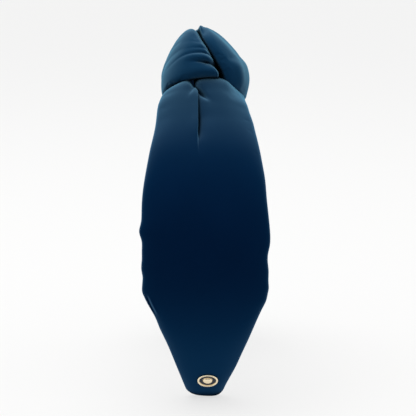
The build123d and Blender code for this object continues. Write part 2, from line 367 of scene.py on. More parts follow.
def straight_pleat(along, across):
    """Height of the straight pleat: a raised lip on its left, a groove on its right."""
    off = across - pleat_line(along)
    stops = ((SLEEVE_START, 0.9), (15, 0.7), (22, 0.6), (28, 0.8), (34, 1.1), (40, 0.8), (46, 0.2))
    strength = profile(along, *stops, (52, 0))
    lip = 0.7 * np.exp(-np.clip(-off, 0, None) / 3.0) * (off < 0)
    groove = -2.8 * np.exp(-np.clip(off, 0, None) / 2.2) * (off >= 0)
    return strength * (lip + groove)


def slanting_crease(along, across):
    """Height of the crease that runs from the pocket down to the right, steepest on its right."""
    lean = 0.72
    off = across - POCKET_ACROSS - lean * (along - POCKET_ALONG)
    width = np.where(off < 0, 1.7, 0.5)
    strength = fade(along, 12, 15) * (1 - fade(along, 19, 26))
    return -3.9 * strength * np.exp(-np.abs(off) / width)


def short_fold(along, across):
    """Height of the fold that runs from the pocket down to the left."""
    lean = -0.33
    off = across - (POCKET_ACROSS - 0.7 + lean * (along - POCKET_ALONG))
    strength = fade(along, 12, 15) * (1 - fade(along, 17, 23))
    return -1.5 * strength * np.exp(-np.abs(off) / 0.7)


def pleat_depth(along, across):
    """Height of all gathers under the knot together, never deeper than the pocket."""
    total = straight_pleat(along, across) + slanting_crease(along, across) + short_fold(along, across)
    return DEEPEST * np.tanh(total / DEEPEST)


def pleat_overhang(along, across):
    """How far the cloth left of the straight pleat laps over its groove."""
    off = across - pleat_line(along)
    strength = fade(along, 15, 20) * (1 - fade(along, 35, 45))
    return 1.1 * strength * np.exp(-np.clip(-off, 0, None) / 1.3) * (off < 0)


def shoulder_fall(along, spread):
    """How far the shoulders fall below a plain crowned section, beside the knot."""
    right = 5.4 * fade(spread, 0.5, 1.0) * fade(along, 1, 8) * (1 - fade(along, 13, 25))
    left = 3.4 * fade(-spread, 0.3, 0.95) * fade(along, 1, 7) * (1 - fade(along, 9, 18))
    return right + left


# Puckers of the band's edges: place along the arm, width and height.
LEFT_PUCKERS = (
    (83.8, 3.0, 1.05), (89.0, 3.0, -0.35), (95.0, 3.5, -0.45),
    (103.2, 2.8, -0.6), (110.0, 2.0, 0.35), (121.0, 4.0, -0.55),
)
RIGHT_PUCKERS = ((87.0, 6.0, 0.55), (93.0, 2.5, -0.4), (96.3, 2.8, -0.45), (107.5, 2.0, 0.4))


def edge_pucker(along, side, turned):
    """Small waves and puckers of the band's edge, across it; the right arm's waves are shifted."""
    phase = turned * 1.7 + side * 0.9
    waves = 0.16 * np.sin(along / 7.1 + phase) + 0.12 * np.sin(along / 4.3 + 2.1 * phase)
    waves = waves * fade(along, 55, 75) * (1 - fade(along, 125, 150))
    for place, width, height in LEFT_PUCKERS if side < 0 else RIGHT_PUCKERS:
        waves = waves + height * bump(along, place, width)
    if side > 0:
        waves = waves + 1.3 * fade(along, 106, 115) * (1 - fade(along, 142, 157))
    return waves


def corner_fold(along, across):
    """A small crease of spare cloth beside the left edge, where the band starts to narrow."""
    from_edge = 1.5
    off = across + sleeve_half_width(along) - from_edge
    strength = fade(along, 110, 113) * (1 - fade(along, 116, 120))
    return strength * (0.5 * bump(off, 1.0, 0.6) - 1.0 * bump(off, 0.0, 0.5))


def sleeve_rows():
    """Positions of the rings along the arm, closest at the gathers and at the tip."""
    gathers = np.arange(SLEEVE_START, 50, 0.8)
    arm = np.arange(50, ARM_LENGTH - 4, 1.0)
    tip = ARM_LENGTH - 4 * np.cos(np.linspace(0, pi / 2, 9))
    return np.concatenate([gathers, arm, tip[1:]])


def sleeve_columns():
    """Positions across the sleeve, from -1 to 1, closest at the pleat."""
    return columns(85, PLEAT_COLUMN, 4.0, 0.13)


def sleeve_places(turned):
    """Grid of a sleeve: along, spread drawn onto the pleat, and across with its puckered edges."""
    along = sleeve_rows()[:, None]
    spread = sleeve_columns()[None, :]
    half = sleeve_half_width(along)
    pleat_at = np.sin(PLEAT_COLUMN * pi / 2)
    shift = (pleat_line(along) / half - pleat_at) * bump(spread, pleat_at, 0.3)
    spread = spread + shift
    across = half * spread
    across = across - right_shoulder_inset(along) * fade(spread, 0.2, 1.0)
    if turned:
        across = across + rear_shoulder_inset(along) * fade(-spread, 0.2, 1.0)
    side = np.where(spread < 0, -1, 1)
    waves = np.where(side < 0, edge_pucker(along, -1, turned), edge_pucker(along, 1, turned))
    return along, spread, across + waves * np.abs(spread) ** 6 * side


def tip_thinning(along):
    """Share of the sleeve's thickness that is left, closing in a round edge at the tip."""
    left = np.clip((ARM_LENGTH - along) / TIP_ROUND, 0, 1)
    return np.maximum(np.sqrt(1 - (1 - left) ** 2), CLOSED_END)


def sleeve_rings(turned):
    """Rings of a sleeve as it lies on the left arm: a crowned outer face and a flat inner one."""
    along, spread, across = sleeve_places(turned)
    thin = tip_thinning(along)
    edge = sleeve_edge_height(along)
    crown = sleeve_crown_height(along)
    power = profile(along, (SLEEVE_START, 1.9), (20, 2.0), (40, 2.3), (ARM_LENGTH, 2.6))
    arc_up = np.clip(1 - np.abs(spread) ** power, 0, 1) ** 0.5
    fall = np.clip(1 - np.abs(spread) ** 7, 0, 1) ** 0.5
    middle = (edge + SLEEVE_IN) / 2 * (1 - thin)
    upper = edge * thin + middle + (crown - edge) * arc_up * thin
    upper = upper + pleat_depth(along, across) * fade(1 - np.abs(spread), 0, 0.25)
    upper = upper - shoulder_fall(along, spread) * arc_up
    upper = upper + corner_fold(along, across)
    lower = edge * thin + middle - (edge - SLEEVE_IN) * fall * thin
    slant = TIP_SLANT * (1 - spread) / 2 * fade(along, ARM_LENGTH - 5, ARM_LENGTH)
    grid_along = along - slant
    top_row = on_arch(grid_along, across + pleat_overhang(along, across), upper)
    bottom_row = on_arch(grid_along, across, lower)
    return loop(top_row, bottom_row)


def held_pleat():
    """1 where the sleeve's straight pleat is tacked down, 0 away from it."""
    along = sleeve_rows()[:, None]
    size = ring_counts["sleeve_cloth_left"][1]
    spread = sleeve_columns()[None, :]
    near = bump(spread, np.sin(PLEAT_COLUMN * pi / 2), 0.09) * (1 - fade(along, 40, 50))
    held = np.zeros((len(along), size))
    held[:, : near.shape[1]] = near
    return held


def make_sleeve(name, turned):
    """One sleeve; the right arm's is turned about Z and slimmer at its rear shoulder."""
    rings = sleeve_rings(turned)
    return lofted(name, half_turn(rings) if turned else rings)


# --- Knot: strands wound over an egg-shaped body --------------------------------------------

KNOT_MIDDLE = 133.0
KNOT_X, KNOT_Y = 19.2, 19.1
KNOT_UP, KNOT_DOWN = TOP - KNOT_MIDDLE - 0.8, 12.5


def direction(azimuth, elevation):
    """Unit vector; azimuth 0 is towards the left arm, -90 towards the wearer's front."""
    a, e = radians(azimuth), radians(elevation)
    return np.array([cos(e) * cos(a), cos(e) * sin(a), sin(e)])


def knot_point(way, out):
    """Points in a direction from the knot's middle, out from the knot's body."""
    low = np.clip(-way[..., 2], 0, 1)
    flat = np.where(low > 0, (1 - low**4) ** 0.25 / np.sqrt(np.clip(1 - low**2, 1e-6, 1)), 1.0)
    rise = np.where(way[..., 2] > 0, KNOT_UP, KNOT_DOWN)
    body = np.stack([KNOT_X * way[..., 0] * flat, KNOT_Y * way[..., 1] * flat, rise * way[..., 2]], -1)
    normal = np.stack([way[..., 0] / KNOT_X, way[..., 1] / KNOT_Y, way[..., 2] / rise], -1)
    normal /= np.linalg.norm(normal, axis=-1, keepdims=True)
    return body + normal * out[..., None] + np.array([0, 0, KNOT_MIDDLE])


def guide(turns, count):
    """A smooth row of directions through (azimuth, elevation) stops, evenly by stop number."""
    stops = np.array([direction(*t) for t in turns])
    first, last = 2 * stops[0] - stops[1], 2 * stops[-1] - stops[-2]
    padded = np.concatenate([[first], stops, [last]])
    t = np.linspace(0, len(stops) - 1, count)
    i = np.clip(t.astype(int), 0, len(stops) - 2)
    f = (t - i)[:, None]
    a, b, c, d = padded[i], padded[i + 1], padded[i + 2], padded[i + 3]
    point = 0.5 * (
        2 * b + (c - a) * f + (2 * a - 5 * b + 4 * c - d) * f**2 + (3 * b - a - 3 * c + d) * f**3
    )
    return point / np.linalg.norm(point, axis=1, keepdims=True)


def between(a, b, share):
    """Directions part of the way round from a to b: a, b (rings, 3) and share (columns)."""
    angle = np.arccos(np.clip((a * b).sum(1), -1, 1))[:, None]
    weight_a = np.sin((1 - share) * angle) / np.sin(angle)
    weight_b = np.sin(share * angle) / np.sin(angle)
    return weight_a[..., None] * a[:, None, :] + weight_b[..., None] * b[:, None, :]


# Edges of the knot's bands, as (azimuth, elevation) stops in degrees. The strand runs from low at the
# left arm's rear, over the top, to low at the right arm's front; its left and right are as seen from
# the left arm. The wrap is the left arm's one, and runs from low at its front up to the strand.
STRAND_LEFT_EDGE = (
    (31, -4), (28, 13), (20, 28), (10, 43), (-7, 62), (-80, 81),
    (-140, 68), (-128, 40), (-112, 8), (-106, -25), (-104, -55),
)
STRAND_RIGHT_EDGE = (
    (104, -60), (104, -25), (107, 8), (114, 38), (128, 58), (155, 74),
    (-168, 60), (-168, 42), (-163, 29), (-158, 16), (-156, 1),
)
WRAP_LIP = (
    (-86, -80), (-78, -40), (-58, -14), (-36, -1), (-14, 5.5),
    (2, 7), (16, 6.5), (28, 5), (42, 3),
)
WRAP_CREST = (
    (-128, -70), (-132, -15), (-138, 28), (-150, 62), (120, 84),
    (66, 74), (60, 58), (58, 42), (60, 28),
)


def body_fullness(way):
    """How much the knot's cloth stands off the egg, by direction."""
    height = np.degrees(np.arcsin(np.clip(way[..., 2], -1, 1)))
    flat = np.maximum(np.hypot(way[..., 0], way[..., 1]), 1e-6)
    rearward = way[..., 1] / flat
    rear_stops = ((-60, 0.2), (-40, 0.6), (-28, 0.3), (3, 0.8), (16, 0.5), (30, -1.5), (49, -2.35))
    rear = profile(height, *rear_stops, (72, -1.45), (90, 0))
    front_stops = ((-60, 0.0), (-40, 0.7), (-28, 0.75), (3, 0.85), (14, 0.35), (30, -0.1), (50, 0.6))
    front = profile(height, *front_stops, (66, 1.4), (78, 0.7), (90, 0))
    return fade(rearward, 0.3, 0.95) * rear + fade(-rearward, 0.3, 0.95) * front


def strand_edges(count):
    """Left and right edges of the strand over the knot, seen from the left arm."""
    return guide(STRAND_LEFT_EDGE, count), guide(STRAND_RIGHT_EDGE, count)


def depth_into_strand(points, turned):
    """How far points on the knot's body lie inside the strand, past the edge over a wrap."""
    left, right = strand_edges(160)
    if turned:
        left, right = half_turn(right)[::-1], half_turn(left)[::-1]
    zero = np.zeros(len(left))
    edge = knot_point(left, zero)
    inward = knot_point(right, zero) - edge
    flat = points.reshape(-1, 3)
    gap = flat[:, None, :] - edge[None]
    distance = np.linalg.norm(gap, axis=2)
    nearest = distance.argmin(1)
    pick = np.arange(len(flat))
    sign = np.sign((gap[pick, nearest] * inward[nearest]).sum(1))
    return (distance[pick, nearest] * sign).reshape(points.shape[:-1])


def round_ends(share, reach, thickness):
    """Thickness that closes at both ends of a strand, over a reach of its length."""
    near = np.clip(np.minimum(share, 1 - share) / reach, 0, 1)
    return thickness * np.maximum(np.sqrt(1 - (1 - near) ** 2), CLOSED_END)


STRAND_THICK = 6.0
WRAP_THICK = 5.4


def strand_rings(left, right, spread, relief, rows):
    """Rings of the strand: its outer face with relief, rounded edges, and a plain inner face."""
    way = between(left, right, (spread + 1) / 2)
    crown = np.clip(1 - np.abs(spread[None, :]) ** 5.0, 0, 1) ** 0.5
    half = round_ends(rows, 0.06, STRAND_THICK / 2)[:, None]
    middle = -STRAND_THICK / 2
    full = body_fullness(way) * fade(half, 0, STRAND_THICK / 2)
    upper = middle + half * crown + relief * fade(half, 0, STRAND_THICK / 2) + full
    lower = middle - half * crown + np.minimum(full, 0)
    return loop(knot_point(way, upper), knot_point(way, lower))


# Pleats of the wrap: place at its root, place at its end, depth, width, where it starts to deepen
# and where it is full. Folds at its root: place, lean and depth. Places are shares from lip to crest.
WRAP_PLEATS = (
    (0.20, 0.240, 3.0, 0.024, 0.44, 0.60),
    (0.26, 0.370, 1.1, 0.028, 0.28, 0.54),
    (0.34, 0.445, 0.8, 0.026, 0.38, 0.60),
    (0.46, 0.545, 0.4, 0.034, 0.35, 0.60),
)
WRAP_FOLDS = ((0.30, 0.10, 0.9), (0.50, 0.02, 0.7), (0.68, -0.05, 0.9), (0.84, -0.1, 0.6))


def wrap_relief(share, along):
    """Height of the wrap's pleats; share runs from its lip to its crest, along from its root."""
    relief = np.zeros(share.shape)
    bend = fade(along, 0.30, 0.56)
    for root_place, place, depth, width, start, end in WRAP_PLEATS:
        line = root_place + (place - root_place) * bend
        grow = fade(along, start, end)
        wedge = width * (0.6 + 1.0 * fade(along, 0.5, 0.7))
        relief -= depth * grow * np.exp(-np.abs(share - line) / wedge)
    rolls = 0.8 * bump(share, 0.11, 0.07) + 0.7 * bump(share, 0.30, 0.05)
    relief += rolls * fade(along, 0.3, 0.6)
    for place, lean, depth in WRAP_FOLDS:
        fold = place + lean * along / 0.4
        reach = fade(along, 0.02, 0.10) * (1 - fade(along, 0.2, 0.46))
        relief -= depth * reach * np.exp(-np.abs(share - fold) / 0.04)
    return relief


def make_wrap(name, turned):
    """The band that wraps one gathered neck, from under the band to under the strand."""
    rows = np.linspace(0, 1, 96)
    lip = guide(WRAP_LIP, len(rows))
    crest = guide(WRAP_CREST, len(rows))
    spread = columns(97)
    share = (spread + 1) / 2
    way = between(lip, crest, share)
    surface = knot_point(way, np.zeros(way.shape[:2]))
    inside = depth_into_strand(surface, turned)
    grid_share = share[None, :] + 0 * rows[:, None]
    grid_rows = rows[:, None] + 0 * share[None, :]
    hollow = fade(grid_rows, 0.45, 0.62) * (1 - fade(grid_share, 0.20, 0.40))
    dive = -4.8 * fade(inside, -2.6, 1.2) - 3.4 * hollow * fade(inside, -3.8, -1.4)
    span = np.linalg.norm(np.diff(surface, axis=1), axis=2).sum(1)
    relief = wrap_relief(grid_share, grid_rows)
    lip_roll, crest_roll = 3.0, 2.6
    from_lip = np.clip(grid_share * span[:, None] / lip_roll, 0, 1)
    from_crest = np.clip((1 - grid_share) * span[:, None] / crest_roll, 0, 1)
    crown = np.sqrt(1 - (1 - from_lip) ** 2) * np.sqrt(1 - (1 - from_crest) ** 2)
    half = round_ends(rows, 0.05, WRAP_THICK / 2)[:, None]
    full = half / (WRAP_THICK / 2)
    puff = body_fullness(half_turn(way) if turned else way)
    upper = -WRAP_THICK / 2 + half * crown + (dive + relief * crown + puff) * full
    lower = -WRAP_THICK / 2 - half * crown + dive * full
    rings = loop(knot_point(way, upper), knot_point(way, lower))
    return lofted(name, half_turn(rings) if turned else rings)


def make_strand(name):
    """The strand that crosses over the knot."""
    rows = np.linspace(0, 1, 120)
    left, right = strand_edges(len(rows))
    spread = columns(65)
    along = rows[:, None]
    across = spread[None, :]
    middle = 1 - np.abs(along - 0.5) * 2
    ridge = 1.0 * bump(across, -0.35, 0.24) * fade(middle, 0.05, 0.3) * (1 - fade(middle, 0.5, 0.85))
    peak = 1.5 * bump(across, -0.76, 0.22) * bump(along, 0.47, 0.034)
    relief = 0.4 + ridge + peak
    for place, lean, depth, start in ((0.60, -0.2, 0.8, 0.32), (0.82, -0.2, 0.6, 0.24)):
        for end, sign in ((along, 1), (1 - along, -1)):
            fold = sign * (place + lean * end)
            reach = fade(end, 0.0, 0.04) * (1 - fade(end, start * 0.4, start))
            relief = relief - depth * reach * np.exp(-np.abs(across - fold) / 0.06)
    return lofted(name, strand_rings(left, right, spread, relief, rows))


# --- Hidden and small pieces ----------------------------------------------------------------

FOAM_IN, FOAM_FLOOR = 1.2, 17.0
FOAM_SIDE_GAP, FOAM_TOP_GAP, FOAM_EDGE = 2.2, 1.2, 2.0
FOAM_START = radians(43) * CROWN


def along_at_height(height):
    """Distance from the crown of the leg's point at a height."""
    return QUARTER + LEG * asin((CENTRE - height) / LEG)


def make_foam(name, side):
    """The foam sheet inside one arm, thinner towards its edges."""
    along = np.linspace(FOAM_START, along_at_height(FOAM_FLOOR), 90)[:, None]
    spread = columns(41)[None, :]
    reach = np.minimum(along - FOAM_START, along_at_height(FOAM_FLOOR) - along)
    thin = np.sqrt(1 - (1 - np.clip(reach / FOAM_EDGE, 0, 1)) ** 2)
    across = (sleeve_half_width(along) - FOAM_SIDE_GAP) * spread
    thickness = sleeve_crown_height(along) - FOAM_TOP_GAP - FOAM_IN
    rise = thickness * np.sqrt(1 - np.abs(spread) ** 2.2) * thin
    grid = along + 0 * spread
    rings = loop(on_arch(grid, across, FOAM_IN + rise), on_arch(grid, across, FOAM_IN + 0 * rise))
    return lofted(name, rings if side > 0 else half_turn(rings))


def make_batting(name):
    """A lump of wadding that fills the space its CAD solid holds."""
    low, high = (np.array(c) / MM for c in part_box("knot_batting"))
    middle, half = (low + high) / 2, (high - low) / 2
    turn = np.linspace(0, 2 * pi, 49)[:-1][None, :]
    pole = pi / 2 - 0.06
    rise = np.linspace(-pole, pole, 33)[:, None]
    lumps = 1 - 0.05 * (1 + np.sin(5 * turn + 3 * rise) * np.sin(4 * rise + 2 * np.sin(turn)))
    flat = np.cos(rise) ** 0.6 * lumps
    points = np.stack([flat * np.cos(turn), flat * np.sin(turn), np.sin(rise) * lumps], -1)
    return lofted(name, middle + points * half)


LINING_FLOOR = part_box("lining_left")[0].z / MM
LINING_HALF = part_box("lining_left")[1].y / MM
LINING_TIP_HALF, LINING_CORNER = 5.0, 2.0
LINING_THICK = 0.7
TAPER_TOP = 48.0
RIB_PITCH, RIB_DEPTH = 0.9, 0.09


def lining_half_width(along):
    """Half width of the ribbon, narrowing down the leg."""
    start, end = along_at_height(TAPER_TOP), along_at_height(LINING_FLOOR)
    share = np.clip((along - start) / (end - start), 0, 1)
    straight = LINING_HALF + (LINING_TIP_HALF - LINING_HALF) * share
    left = LINING_CORNER - np.clip(end - along, 0, LINING_CORNER)
    return straight - (LINING_CORNER - np.sqrt(LINING_CORNER**2 - left**2)) * 0.8


def make_lining(name, side):
    """One half of the ribbed ribbon along the inside of the arch, from the crown to a tip."""
    end = along_at_height(LINING_FLOOR)
    along = np.linspace(0, end, int(end / RIB_PITCH * 4))[:, None]
    spread = columns(15)[None, :]
    face = LINING_FACE - CROWN
    rib = RIB_DEPTH * (0.5 + 0.5 * np.cos(2 * pi * along / RIB_PITCH))
    round_edge = np.sqrt(1 - np.abs(spread) ** 24)
    middle = face + LINING_THICK / 2
    grid = along + 0 * spread
    across = lining_half_width(along) * spread
    inner = middle - (LINING_THICK / 2 - rib) * round_edge
    outer = middle + LINING_THICK / 2 * round_edge + 0 * along
    rings = loop(on_arch(grid, across, outer), on_arch(grid, across, inner))
    return lofted(name, rings if side > 0 else half_turn(rings))


THREAD_RADIUS = 0.3
STITCH_LENGTH, STITCH_PITCH = 2.6, 5.0
STITCH_FIRST, STITCH_LAST_HEIGHT = 40.0, 7.0
THREAD_SEAT = SLEEVE_IN - THREAD_RADIUS - 0.05
TACK_X, TACK_Y, TACK_HALF = (-11.0, -5.0, 5.0, 11.0), 16.3, 1.1


def thread(start, end, lift):
    """Rings of a two-ply thread that bows away from the cloth and dives in at both ends."""
    share = np.linspace(0, 1, 15)[:, None]
    turn = np.linspace(0, 2 * pi, 13)[:-1][None, :]
    run = end - start
    length = np.linalg.norm(run)
    run = run / length
    lift = lift / np.linalg.norm(lift)
    side = np.cross(run, lift)
    ply = 0.78 + 0.22 * np.abs(np.cos(turn - share * 9))
    radius = THREAD_RADIUS * ply * np.sqrt(1 - np.abs(2 * share - 1) ** 5)
    rise = 0.12 * np.sin(pi * share) - 0.28 * np.abs(2 * share - 1) ** 4
    spine = start + share * run * length + rise * lift
    return spine[:, None, :] + radius[..., None] * (
        np.cos(turn)[..., None] * side + np.sin(turn)[..., None] * lift
    )


def make_hem(name, side):
    """Stitches along both edges of the lining of one arm."""
    threads = []
    along = radians(STITCH_FIRST) * CROWN
    last = along_at_height(STITCH_LAST_HEIGHT)
    while along < last:
        for edge in (-1, 1):
            ends = np.array([along - STITCH_LENGTH / 2, along + STITCH_LENGTH / 2])
            across = edge * (lining_half_width(ends) + THREAD_RADIUS + 0.1)
            points = on_arch(ends, across, np.full(2, THREAD_SEAT))
            _, _, nx, nz = arch(along)
            rings = thread(points[0], points[1], np.array([-nx, 0, -nz]))
            threads.append(rings if side > 0 else half_turn(rings))
        along += STITCH_PITCH
    return joined_tubes(name, threads)


def make_tacks(name):
    """Short stitches that hold the knot down, beside the lining."""
    threads = []
    for x in TACK_X:
        along = CROWN * asin(abs(x) / (CROWN + SLEEVE_IN))
        spread = TACK_Y / float(sleeve_half_width(along) - right_shoulder_inset(along))
        edge = float(sleeve_edge_height(along))
        reach = CROWN + edge - (edge - SLEEVE_IN) * sqrt(1 - spread**7) - 0.2
        z = CENTRE + sqrt(reach**2 - x**2)
        for side in (-1, 1):
            middle = np.array([x, side * TACK_Y, z])
            step = np.array([0.0, TACK_HALF, 0.0])
            threads.append(thread(middle - step, middle + step, np.array([-x, 0, CENTRE - z])))
    return joined_tubes(name, threads)


# --- Ornament -------------------------------------------------------------------------------

# Half length and half height of the oval, and its section as (share of the oval, height) stops.
PLAQUE_LONG, PLAQUE_TALL = 4.5, 3.2
PLAQUE_RIM = (
    (0.93, -0.15), (0.985, 0.05), (1.0, 0.30), (0.985, 0.62), (0.945, 0.88),
    (0.89, 0.98), (0.835, 0.88), (0.80, 0.62),
)
PLAQUE_ENAMEL = ((0.785, 0.34), (0.76, 0.26), (0.70, 0.24), (0.58, 0.24))
PLAQUE_BOSS = (
    (0.48, 0.26), (0.455, 0.40), (0.44, 0.66), (0.40, 0.86),
    (0.31, 1.02), (0.19, 1.12), (0.07, 1.16),
)
BEADS, BEAD_GROW, BEAD_DIP = 32, 0.012, 0.14
PLAQUE_LOW, PLAQUE_HIGH = (np.array(corner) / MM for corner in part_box("plaque"))
POST_SPACING, POST_RADIUS, POST_DEPTH = 4.4, 0.5, 1.4


def plaque_seat():
    """The ornament's seat on the left tip's outer face: place, and the axes across, up and out."""
    middle = (PLAQUE_LOW + PLAQUE_HIGH) / 2
    along = along_at_height(middle[2])
    near = np.array([along - 3, along, along + 3])
    face = on_arch(near, np.full(3, middle[1]), sleeve_crown_height(near))
    up = face[0] - face[2]
    up /= np.linalg.norm(up)
    across = np.array([0.0, 1.0, 0.0])
    return face[1], across, up, np.cross(across, up)


def plaque_rings():
    """Rings of the ornament's face, from its back edge over the beaded rim to the boss's top."""
    seat, across, up, out = plaque_seat()
    turn = np.linspace(0, 2 * pi, 193)[:-1]
    bead = 0.5 + 0.5 * np.cos(BEADS * turn)
    rings = []
    for radius, height in PLAQUE_RIM + PLAQUE_ENAMEL + PLAQUE_BOSS:
        on_rim = bump(radius, 0.90, 0.06)
        grow = 1 + BEAD_GROW * bead * on_rim
        tall = height - BEAD_DIP * (1 - bead) * on_rim
        x = PLAQUE_LONG * radius * grow * np.cos(turn)
        y = PLAQUE_TALL * radius * grow * np.sin(turn)
        rings.append(seat + x[:, None] * across + y[:, None] * up + tall[:, None] * out)
    return np.array(rings)


def plaque_post(side):
    """Two circles of a post behind the ornament, 16 points each, from its tip to the face."""
    seat, across, up, out = plaque_seat()
    turn = np.linspace(0, 2 * pi, 17)[:-1]
    circle = (
        seat
        + (side * POST_SPACING / 2 + POST_RADIUS * np.cos(turn))[:, None] * across
        + (POST_RADIUS * np.sin(turn))[:, None] * up
    )
    return np.stack([circle - POST_DEPTH * out, circle + 0.1 * out])


def make_plaque(name):
    """A plain oval ornament: beaded rim, sunk enamel ring and a raised boss, on two posts."""
    face = plaque_rings()
    obj = joined_tubes(name, (face, plaque_post(-1), plaque_post(1)))
    obj.data.materials.append(gold)
    obj.data.materials.append(enamel_blue)
    first, last = len(PLAQUE_RIM), len(PLAQUE_RIM + PLAQUE_ENAMEL)
    for polygon in obj.data.polygons:
        if first <= polygon.index // face.shape[1] < last:
            polygon.material_index = 1
    return obj


# --- Materials ----------------------------------------------------------------------------


def node_material(name):
    """A new node material, with its nodes and links."""
    material = bpy.data.materials.new(name)
    material.use_nodes = True
    return material, material.node_tree.nodes, material.node_tree.links


def object_noise(nodes, links, scale, detail):
    """Value socket of a noise texture in object space."""
    noise = nodes.new("ShaderNodeTexNoise")
    noise.inputs["Scale"].default_value = scale
    noise.inputs["Detail"].default_value = detail
    links.new(nodes.new("ShaderNodeTexCoord").outputs["Object"], noise.inputs["Vector"])
    return noise.outputs["Fac"]


def place_axes(nodes, links, kind):
    """X, Y and Z sockets of one kind of texture coordinate."""
    axes = nodes.new("ShaderNodeSeparateXYZ")
    links.new(nodes.new("ShaderNodeTexCoord").outputs[kind], axes.inputs["Vector"])
    return axes.outputs


def mix_colours(nodes, links, factor, low, high):
    """A colour between low, which is a colour or a socket, and the colour high, by a factor socket."""
    mix = nodes.new("ShaderNodeMix")
    mix.data_type = "RGBA"
    if isinstance(low, tuple):
        mix.inputs["A"].default_value = (*low, 1)
    else:
        links.new(low, mix.inputs["A"])
    mix.inputs["B"].default_value = (*high, 1)
    links.new(factor, mix.inputs["Factor"])
    return mix.outputs["Result"]


def add_bump(nodes, links, shader, height, strength, distance):
    """Bump from a height socket."""
    node = nodes.new("ShaderNodeBump")
    node.inputs["Strength"].default_value = strength
    node.inputs["Distance"].default_value = distance
    links.new(height, node.inputs["Height"])
    links.new(node.outputs["Normal"], shader.inputs["Normal"])


def faded(nodes, links, source, stops):
    """A value that fades between (position, value) pairs of a source socket."""
    ramp = nodes.new("ShaderNodeMapRange")
    ramp.interpolation_type = "SMOOTHSTEP"
    (start, low), (end, high) = stops
    for label, value in (("From Min", start), ("From Max", end), ("To Min", low), ("To Max", high)):
        ramp.inputs[label].default_value = value
    links.new(source, ramp.inputs["Value"])
    return ramp.outputs["Result"]


def combined(nodes, links, operation, first, second):
    """The value of a maths node for two inputs, each a number or a socket."""
    node = nodes.new("ShaderNodeMath")
    node.operation = operation
    for place, value in enumerate((first, second)):
        if isinstance(value, float):
            node.inputs[place].default_value = value
        else:
            links.new(value, node.inputs[place])
    return node.outputs["Value"]


# Painted tones of the satin: painted shade in its folds, a painted sheen where it turns away from the eye,
# and painted light at the low tips.
PAINTED_FOLD_SHADE = (0.0001, 0.0008, 0.003)
PAINTED_EDGE_SHEEN = (0.026, 0.046, 0.085)
PAINTED_TIP_LIGHT = (0.003, 0.028, 0.082)


def satin_material(name, low, high, painted_top_sheen):
    """Navy satin knit between two tones, with painted shade in its folds, a painted sheen on edges that
    turn from the eye, painted light towards the low tips and more sheen near the top as painted light.
    """
    material, nodes, links = node_material(name)
    shader = nodes["Principled BSDF"]
    axes = place_axes(nodes, links, "Object")
    # Painted light: a height ramp raises the sheen weight and warms its tint towards the top.
    painted_top_light = faded(nodes, links, axes["Z"], ((0.092, 0.0), (0.142, 1.0)))
    # Painted shade: ambient occlusion darkens the colour in folds and takes the sheen out of them.
    fold = nodes.new("ShaderNodeAmbientOcclusion")
    fold.samples = 8
    fold.only_local = False
    fold.inputs["Distance"].default_value = 0.0048
    unshaded_share = faded(nodes, links, fold.outputs["AO"], ((0.28, 0.03), (0.77, 1.0)))
    tone = object_noise(nodes, links, 60.0, 3.0)
    colour = mix_colours(nodes, links, tone, low, high)
    # Painted sheen: the colour pales where the surface turns away from the eye.
    glance = nodes.new("ShaderNodeLayerWeight")
    glance.inputs["Blend"].default_value = 0.5
    edge = faded(nodes, links, glance.outputs["Facing"], ((0.14, 0.0), (0.76, 1.0)))
    # Painted light: the colour lightens towards the low tips, as light from the floor would.
    tip_light_share = faded(nodes, links, axes["Z"], ((0.005, 0.62), (0.062, 0.0)))
    colour = mix_colours(nodes, links, tip_light_share, colour, PAINTED_TIP_LIGHT)
    colour = mix_colours(nodes, links, edge, colour, PAINTED_EDGE_SHEEN)
    fold_shade = combined(nodes, links, "SUBTRACT", 1.0, unshaded_share)
    colour = mix_colours(nodes, links, fold_shade, colour, PAINTED_FOLD_SHADE)
    links.new(colour, shader.inputs["Base Color"])
    shader.inputs["Roughness"].default_value = 0.5
    shader.inputs["Specular IOR Level"].default_value = 0.0
    sheen = faded(nodes, links, painted_top_light, ((0.0, 0.38), (1.0, painted_top_sheen)))
    sheen = combined(nodes, links, "MULTIPLY", sheen, unshaded_share)
    links.new(sheen, shader.inputs["Sheen Weight"])
    shader.inputs["Sheen Roughness"].default_value = 0.5
    tint = mix_colours(nodes, links, painted_top_light, (0.06, 0.42, 0.80), (0.20, 0.60, 0.82))
    links.new(tint, shader.inputs["Sheen Tint"])
    weave = object_noise(nodes, links, 2600.0, 2.0)
    add_bump(nodes, links, shader, weave, 0.25, 0.0001)
    return material


def grained_material(name, tones, scale, detail, roughness, strength, distance):
    """A material whose two close tones and fine bump follow one noise, and its shader."""
    material, nodes, links = node_material(name)
    shader = nodes["Principled BSDF"]
    grain = object_noise(nodes, links, scale, detail)
    links.new(mix_colours(nodes, links, grain, *tones), shader.inputs["Base Color"])
    shader.inputs["Roughness"].default_value = roughness
    add_bump(nodes, links, shader, grain, strength, distance)
    return material, shader


def soft_material(name, low, high, scale, strength, roughness=0.9):
    """Matt fibres."""
    material, shader = grained_material(name, (low, high), scale, 4.0, roughness, strength, 0.0002)
    shader.inputs["Specular IOR Level"].default_value = 0.2
    return material


def plastic_material():
    """Black moulded plastic with a fine spark-eroded grain."""
    tones = (0.012, 0.012, 0.014), (0.02, 0.02, 0.023)
    return grained_material("core_plastic", tones, 3000.0, 2.0, 0.42, 0.15, 0.0001)[0]


def gold_material():
    """Gold plate, with slight wear in its tone."""
    tones = (0.92, 0.76, 0.50), (1.0, 0.88, 0.66)
    material, shader = grained_material("gold_plate", tones, 900.0, 4.0, 0.16, 0.08, 0.0001)
    shader.inputs["Metallic"].default_value = 1.0
    return material


